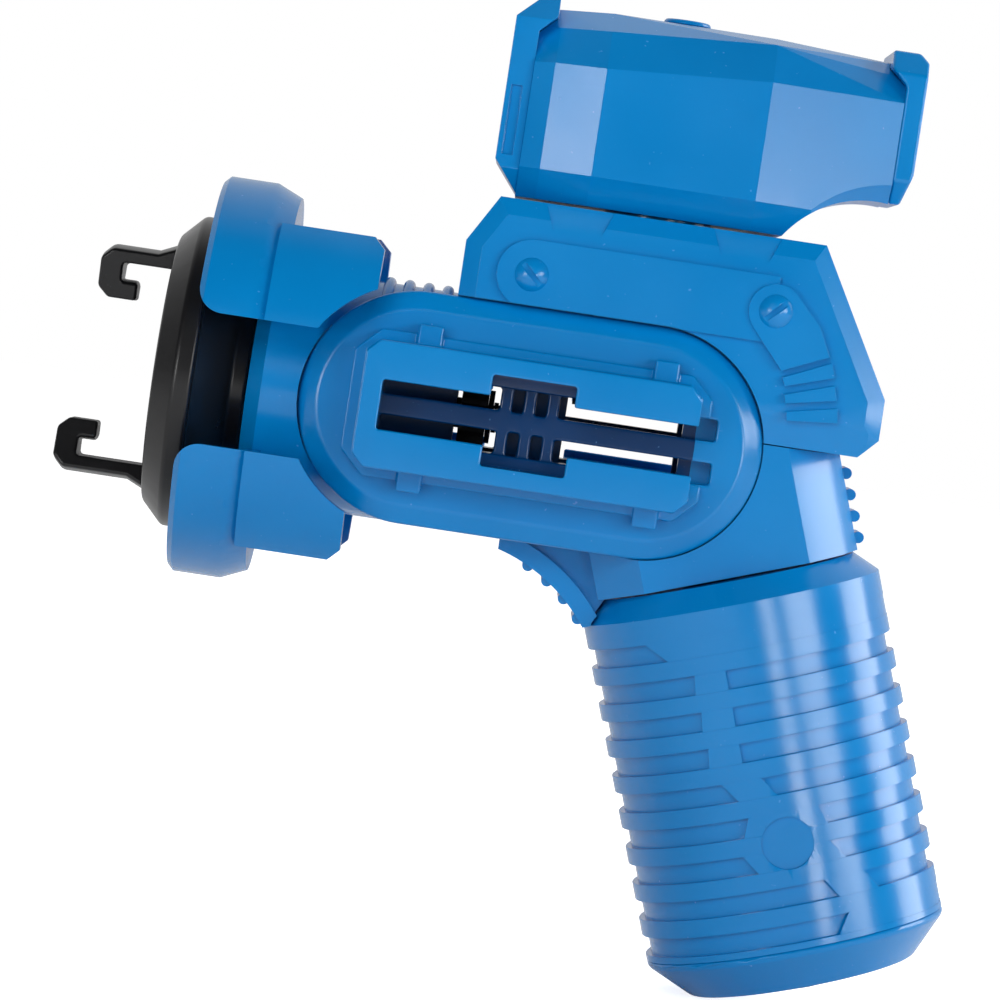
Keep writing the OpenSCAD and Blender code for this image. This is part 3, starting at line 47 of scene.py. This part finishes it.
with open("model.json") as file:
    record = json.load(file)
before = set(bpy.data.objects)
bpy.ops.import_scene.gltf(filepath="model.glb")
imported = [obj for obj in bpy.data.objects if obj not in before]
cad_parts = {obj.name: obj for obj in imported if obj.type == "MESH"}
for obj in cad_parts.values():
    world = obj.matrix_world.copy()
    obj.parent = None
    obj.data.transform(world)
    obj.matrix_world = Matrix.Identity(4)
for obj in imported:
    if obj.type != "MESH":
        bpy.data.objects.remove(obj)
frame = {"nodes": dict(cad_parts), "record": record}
cad_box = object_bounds()
body_of = {node: body for body, nodes in frame["record"]["behaviour"]["bodies"].items() for node in nodes}
slot_of = {part["node"]: part["material_slot"] for part in frame["record"]["subparts"]}


# Materials

def colour(red, green, blue):
    """An opaque colour, in linear shares of full light."""
    return (red, green, blue, 1.0)


white = colour(1.0, 1.0, 1.0)


class Wiring:
    """Adds shader nodes to a material or a world and joins them."""

    def __init__(self, owner):
        owner.use_nodes = True
        self.owner = owner
        self.nodes = owner.node_tree.nodes
        self.places = self.add("ShaderNodeTexCoord").outputs

    def add(self, kind, **settings):
        node = self.nodes.new(kind)
        for key, value in settings.items():
            setattr(node, key, value)
        return node

    def join(self, source, target):
        self.owner.node_tree.links.new(source, target)

    def feed(self, socket, source):
        """Gives a socket a fixed value, or the output of another node."""
        if isinstance(source, (float, tuple)):
            socket.default_value = source
        else:
            self.join(source, socket)

    def axes(self, place):
        """The X, Y and Z parts of one kind of place."""
        node = self.add("ShaderNodeSeparateXYZ")
        self.join(self.places[place], node.inputs["Vector"])
        return node.outputs

    def noise(self, scale, detail=3.0, stretch=(1.0, 1.0, 1.0)):
        mapping = self.add("ShaderNodeMapping")
        mapping.inputs["Scale"].default_value = stretch
        self.join(self.places["Object"], mapping.inputs["Vector"])
        node = self.add("ShaderNodeTexNoise")
        node.inputs["Scale"].default_value = scale
        node.inputs["Detail"].default_value = detail
        self.join(mapping.outputs["Vector"], node.inputs["Vector"])
        return node.outputs["Fac"]

    def span(self, source, old_ends, new_ends=(0.0, 1.0)):
        """Maps a value from one span to another, with ends held."""
        node = self.add("ShaderNodeMapRange")
        node.inputs["From Min"].default_value = old_ends[0]
        node.inputs["From Max"].default_value = old_ends[1]
        node.inputs["To Min"].default_value = new_ends[0]
        node.inputs["To Max"].default_value = new_ends[1]
        self.join(source, node.inputs["Value"])
        return node.outputs["Result"]

    def calculate(self, operation, first, second=0.0):
        node = self.add("ShaderNodeMath", operation=operation)
        self.feed(node.inputs[0], first)
        self.feed(node.inputs[1], second)
        return node.outputs["Value"]

    def blend(self, share, first, second):
        """Mixes two colours by a share."""
        node = self.add("ShaderNodeMix", data_type="RGBA")
        self.join(share, node.inputs["Factor"])
        self.feed(node.inputs["A"], first)
        self.feed(node.inputs["B"], second)
        return node.outputs["Result"]

    def bump(self, height, strength, distance):
        node = self.add("ShaderNodeBump")
        node.inputs["Strength"].default_value = strength
        node.inputs["Distance"].default_value = distance
        self.join(height, node.inputs["Height"])
        return node.outputs["Normal"]

    def split_for_camera(self, for_light, for_camera, end):
        """Shows one shader to the camera and another to all other rays."""
        ray = self.add("ShaderNodeLightPath")
        choice = self.add("ShaderNodeMixShader")
        self.join(ray.outputs["Is Camera Ray"], choice.inputs["Fac"])
        self.join(for_light, choice.inputs[1])
        self.join(for_camera, choice.inputs[2])
        self.join(choice.outputs["Shader"], self.nodes[end].inputs["Surface"])


# The channel under the rail lips, where little light falls; its shade is painted into the blue plastic's
# colour
channel_start = 29.4 * MM
channel_end = 70.2 * MM
channel_half_height = 5.95 * MM
channel_half_width = 17.2 * MM

# How fine each surface pattern is
drift_scale = 38.0
haze_scale = 75.0
tool_mark_scale = 900.0
speck_scale = 1500.0
grain_scale = 2600.0

# The part of the noise that each pattern is stretched from
drift_noise = (0.3, 0.7)
haze_noise = (0.25, 0.75)
tool_mark_noise = (0.3, 0.7)
speck_noise = (0.75, 0.82)

# How much the specks roughen and raise the surface, and how deep the marks in it look
speck_roughness = 0.30
speck_rise = 0.5
grain_strength = 0.10
grain_depth = 0.04 * MM
tool_mark_strength = 0.08
tool_mark_depth = 0.02 * MM


def painted_channel_shade(wiring):
    """Painted shade mask: a value of one in the channel of the rails and zero elsewhere."""
    axes = wiring.axes("Object")
    limits = [
        wiring.calculate("GREATER_THAN", axes["X"], channel_start),
        wiring.calculate("LESS_THAN", axes["X"], channel_end),
        wiring.calculate("LESS_THAN", wiring.calculate("ABSOLUTE", axes["Y"]), channel_half_width),
        wiring.calculate("LESS_THAN", wiring.calculate("ABSOLUTE", axes["Z"]), channel_half_height),
    ]
    inside = limits[0]
    for limit in limits[1:]:
        inside = wiring.calculate("MULTIPLY", inside, limit)
    return inside


def moulded_plastic(name, deep, main, scuffed, smooth, dull, speck_share, painted_shade=None):
    """Moulded plastic: soft colour drift, fine grain and pale specks, with painted shade in the rail
    channel when a shade colour is given.
    """
    wiring = Wiring(bpy.data.materials.new(name))
    surface = wiring.nodes["Principled BSDF"].inputs
    drift = wiring.span(wiring.noise(drift_scale), drift_noise)
    specks = wiring.span(wiring.noise(speck_scale, detail=1.0), speck_noise, (0.0, speck_share))
    body = wiring.blend(drift, deep, main)
    if painted_shade:
        # painted shade: the blue is darkened inside the rail channel, where the lips keep light out
        body = wiring.blend(painted_channel_shade(wiring), body, painted_shade)
    wiring.join(wiring.blend(specks, body, scuffed), surface["Base Color"])
    haze = wiring.span(wiring.noise(haze_scale), haze_noise, (smooth, dull))
    rubbed = wiring.calculate("MULTIPLY", specks, speck_roughness)
    wiring.join(wiring.calculate("ADD", haze, rubbed), surface["Roughness"])
    raised = wiring.calculate("MULTIPLY", specks, speck_rise)
    relief = wiring.calculate("ADD", wiring.noise(grain_scale, detail=2.0), raised)
    wiring.join(wiring.bump(relief, grain_strength, grain_depth), surface["Normal"])
    return wiring.owner


def metal(name, bright, dark, smooth, dull, stretch):
    """Plated or turned metal with fine tool marks."""
    wiring = Wiring(bpy.data.materials.new(name))
    surface = wiring.nodes["Principled BSDF"].inputs
    surface["Metallic"].default_value = 1.0
    marks = wiring.noise(tool_mark_scale, detail=2.0, stretch=stretch)
    wiring.join(wiring.blend(wiring.span(marks, tool_mark_noise), dark, bright), surface["Base Color"])
    wiring.join(wiring.span(marks, tool_mark_noise, (smooth, dull)), surface["Roughness"])
    wiring.join(wiring.bump(marks, tool_mark_strength, tool_mark_depth), surface["Normal"])
    return wiring.owner


finishes = {
    "blue_plastic": moulded_plastic(
        "blue moulded plastic",
        deep=colour(0.0, 0.185, 0.50),
        main=colour(0.0, 0.215, 0.56),
        scuffed=colour(0.10, 0.36, 0.74),
        # painted shade colour for the rail channel
        painted_shade=colour(0.0, 0.035, 0.13),
        smooth=0.17, dull=0.25, speck_share=0.30,
    ),
    "black_plastic": moulded_plastic(
        "black moulded plastic",
        deep=colour(0.004, 0.004, 0.005),
        main=colour(0.008, 0.008, 0.009),
        scuffed=colour(0.05, 0.05, 0.055),
        smooth=0.26, dull=0.38, speck_share=0.35,
    ),
    "gear_plastic": moulded_plastic(
        "black gear plastic",
        deep=colour(0.012, 0.012, 0.013),
        main=colour(0.018, 0.018, 0.020),
        scuffed=colour(0.06, 0.06, 0.065),
        smooth=0.40, dull=0.50, speck_share=0.30,
    ),
    "steel": metal(
        "plated steel",
        bright=colour(0.62, 0.63, 0.65),
        dark=colour(0.48, 0.49, 0.51),
        smooth=0.22, dull=0.36, stretch=(1.0, 1.0, 0.1),
    ),
    "brass": metal(
        "turned brass",
        bright=colour(0.72, 0.52, 0.22),
        dark=colour(0.58, 0.40, 0.15),
        smooth=0.24, dull=0.38, stretch=(0.1, 1.0, 1.0),
    ),
}


# Softened copies of the solids

weld_distance = 0.002 * MM
flat_angle = math.radians(0.6)
smooth_angle = math.radians(35.0)
rounding_steps = 3

# Edge radius in millimetres, and the smallest corner in degrees that is rounded
edge_rules = {
    "body_shell_left": (0.25, 24.0), "body_shell_right": (0.25, 24.0),
    "front_collar_upper": (0.45, 24.0), "front_collar_lower": (0.45, 24.0),
    "port_plate_left": (0.35, 20.0), "port_plate_right": (0.35, 20.0),
    "accessory_rail_left": (0.3, 32.0), "accessory_rail_right": (0.3, 32.0),
    "saddle_left": (0.22, 20.0), "saddle_right": (0.22, 20.0), "saddle_screws": (0.12, 32.0),
    "winder_lower_case": (0.22, 6.5), "winder_upper_case": (0.22, 6.5),
    "front_guide_plate": (0.35, 32.0), "rear_guide_plate": (0.35, 32.0), "pivot_cap": (0.15, 32.0),
    "handle_shell": (0.22, 32.0), "handle_base_cap": (0.4, 32.0),
    "rotor": (0.4, 24.0), "upper_hook": (0.45, 32.0), "lower_hook": (0.45, 32.0),
}
pierced_plates = ["accessory_rail_left", "accessory_rail_right", "port_plate_left", "port_plate_right"]


def dress(piece, slot):
    piece.data.materials.clear()
    piece.data.materials.append(finishes[slot])


def softened(node, radius, corner):
    """A copy of a solid with rounded edges, which then stands for the solid.

    Flat faces are joined before the rounding, except on plates with many openings.
    """
    piece = bpy.data.objects.new(node + "_moulded", frame["nodes"][node].data.copy())
    bpy.context.scene.collection.objects.link(piece)
    bpy.ops.object.select_all(action="DESELECT")
    piece.select_set(True)
    bpy.context.view_layer.objects.active = piece
    bpy.ops.object.mode_set(mode="EDIT")
    bpy.ops.mesh.select_all(action="SELECT")
    bpy.ops.mesh.remove_doubles(threshold=weld_distance)
    if node not in pierced_plates:
        bpy.ops.mesh.dissolve_limited(angle_limit=flat_angle)
    bpy.ops.object.mode_set(mode="OBJECT")
    rounding = piece.modifiers.new("edges", "BEVEL")
    rounding.width = radius * MM
    rounding.segments = rounding_steps
    rounding.limit_method = "ANGLE"
    rounding.angle_limit = math.radians(corner)
    rounding.use_clamp_overlap = True
    rounding.miter_outer = "MITER_ARC"
    bpy.ops.object.modifier_apply(modifier=rounding.name)
    bpy.ops.object.shade_smooth_by_angle(angle=smooth_angle)
    evening = piece.modifiers.new("even normals", "WEIGHTED_NORMAL")
    evening.keep_sharp = True
    bpy.ops.object.modifier_apply(modifier=evening.name)
    dress(piece, slot_of[node])
    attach(piece, body_of[node])
    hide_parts(node)


for node, (radius, corner) in edge_rules.items():
    softened(node, radius, corner)

for node, solid in frame["nodes"].items():
    dress(solid, slot_of[node])


# Floor

floor_gap = 0.1 * MM
floor_width = 6.0
floor_glow = 0.80
floor_roughness = 0.9
floor_drift_scale = 3.0
floor_deep = colour(0.86, 0.86, 0.86)
floor_main = colour(0.88, 0.88, 0.88)


def pale_floor():
    """Pale floor that keeps the shadow and meets the white background."""
    wiring = Wiring(bpy.data.materials.new("pale floor"))
    shader = wiring.nodes["Principled BSDF"]
    shader.inputs["Roughness"].default_value = floor_roughness
    shader.inputs["Specular IOR Level"].default_value = 0.0
    drift = wiring.span(wiring.noise(floor_drift_scale), drift_noise)
    wiring.join(wiring.blend(drift, floor_deep, floor_main), shader.inputs["Base Color"])
    glow = wiring.add("ShaderNodeEmission")
    glow.inputs["Color"].default_value = white
    glow.inputs["Strength"].default_value = floor_glow
    glowing = wiring.add("ShaderNodeAddShader")
    wiring.join(shader.outputs["BSDF"], glowing.inputs[0])
    wiring.join(glow.outputs["Emission"], glowing.inputs[1])
    wiring.split_for_camera(shader.outputs["BSDF"], glowing.outputs["Shader"], "Material Output")
    return wiring.owner


floor_z = cad_box[0][2] - floor_gap
bpy.ops.mesh.primitive_plane_add(size=floor_width, location=(0.0, 0.0, floor_z))
floor = bpy.context.active_object
floor.name = "floor"
bpy.ops.object.transform_apply(location=True)
floor.data.materials.append(pale_floor())


# Lamps

lamp_target = Vector((46.5 * MM, 0.0, -8.0 * MM))


def softbox(name, azimuth, height, distance, width, tall, power, mirrored=True):
    """An area lamp that faces the launcher. Azimuth turns from the camera towards the right.

    A lamp that isn't mirrored lights the launcher without showing in its gloss.
    """
    lamp = bpy.data.lights.new(name, "AREA")
    lamp.shape = "RECTANGLE"
    lamp.size = width
    lamp.size_y = tall
    lamp.energy = power
    holder = bpy.data.objects.new(name, lamp)
    bpy.context.scene.collection.objects.link(holder)
    angle = math.radians(azimuth)
    spot = lamp_target + Vector((distance * math.sin(angle), -distance * math.cos(angle), height))
    aim = (lamp_target - spot).to_track_quat("-Z", "Y")
    holder.matrix_world = Matrix.Translation(spot) @ aim.to_matrix().to_4x4()
    holder.visible_camera = False
    holder.visible_glossy = mirrored


softbox("right softbox", azimuth=49.0, height=0.20, distance=1.0, width=0.42, tall=0.26, power=2.8)
softbox("low right card", azimuth=26.0, height=0.015, distance=1.0, width=0.18, tall=0.14, power=0.85)
softbox("far right softbox", azimuth=104.0, height=0.35, distance=1.0, width=0.50, tall=0.90, power=8.0)
softbox("left softbox", azimuth=-32.0, height=0.05, distance=1.1, width=0.28, tall=0.22, power=1.7)
softbox("front fill", azimuth=-14.0, height=0.50, distance=1.1, width=0.70, tall=0.50, power=5.6,
        mirrored=False)
softbox("rear top softbox", azimuth=180.0, height=1.0, distance=0.60, width=1.0, tall=0.9, power=4.0,
        mirrored=False)


# Surroundings: dark in front of the launcher and light behind it, and white where the camera sees them

front_to_rear = (-0.05, 0.6)
dark_to_light = (0.03, 0.70)

world = bpy.data.worlds.new("studio")
bpy.context.scene.world = world
sky = Wiring(world)
room = sky.nodes["Background"]
room.inputs["Color"].default_value = white
sky.join(sky.span(sky.axes("Generated")["Y"], front_to_rear, dark_to_light), room.inputs["Strength"])
backdrop = sky.add("ShaderNodeBackground")
backdrop.inputs["Color"].default_value = white
backdrop.inputs["Strength"].default_value = 1.0
sky.split_for_camera(room.outputs["Background"], backdrop.outputs["Background"], "World Output")


# Camera at the photograph's viewing angle

aim_point = Vector((46.5 * MM, 0.0, -10.6 * MM))
reach = 700.0 * MM
seen_width = 131.6 * MM
elevation = math.radians(2.0)
roll = math.radians(8.6)
back = Vector((0.0, -math.cos(elevation), math.sin(elevation)))
level_right = Vector((1.0, 0.0, 0.0))
level_up = Vector((0.0, math.sin(elevation), math.cos(elevation)))
right = level_right * math.cos(roll) + level_up * math.sin(roll)
up = level_up * math.cos(roll) - level_right * math.sin(roll)
stand = aim_point + back * reach
lens = bpy.data.cameras.new("camera")
lens.sensor_width = 36.0
lens.lens = lens.sensor_width * reach / seen_width
lens.clip_start = 10.0 * MM
camera = bpy.data.objects.new("camera", lens)
bpy.context.scene.collection.objects.link(camera)
camera.matrix_world = Matrix((
    (right.x, up.x, back.x, stand.x),
    (right.y, up.y, back.y, stand.y),
    (right.z, up.z, back.z, stand.z),
    (0.0, 0.0, 0.0, 1.0),
))
bpy.context.scene.camera = camera
bpy.context.scene.view_settings.view_transform = "Standard"

bpy.context.view_layer.update()
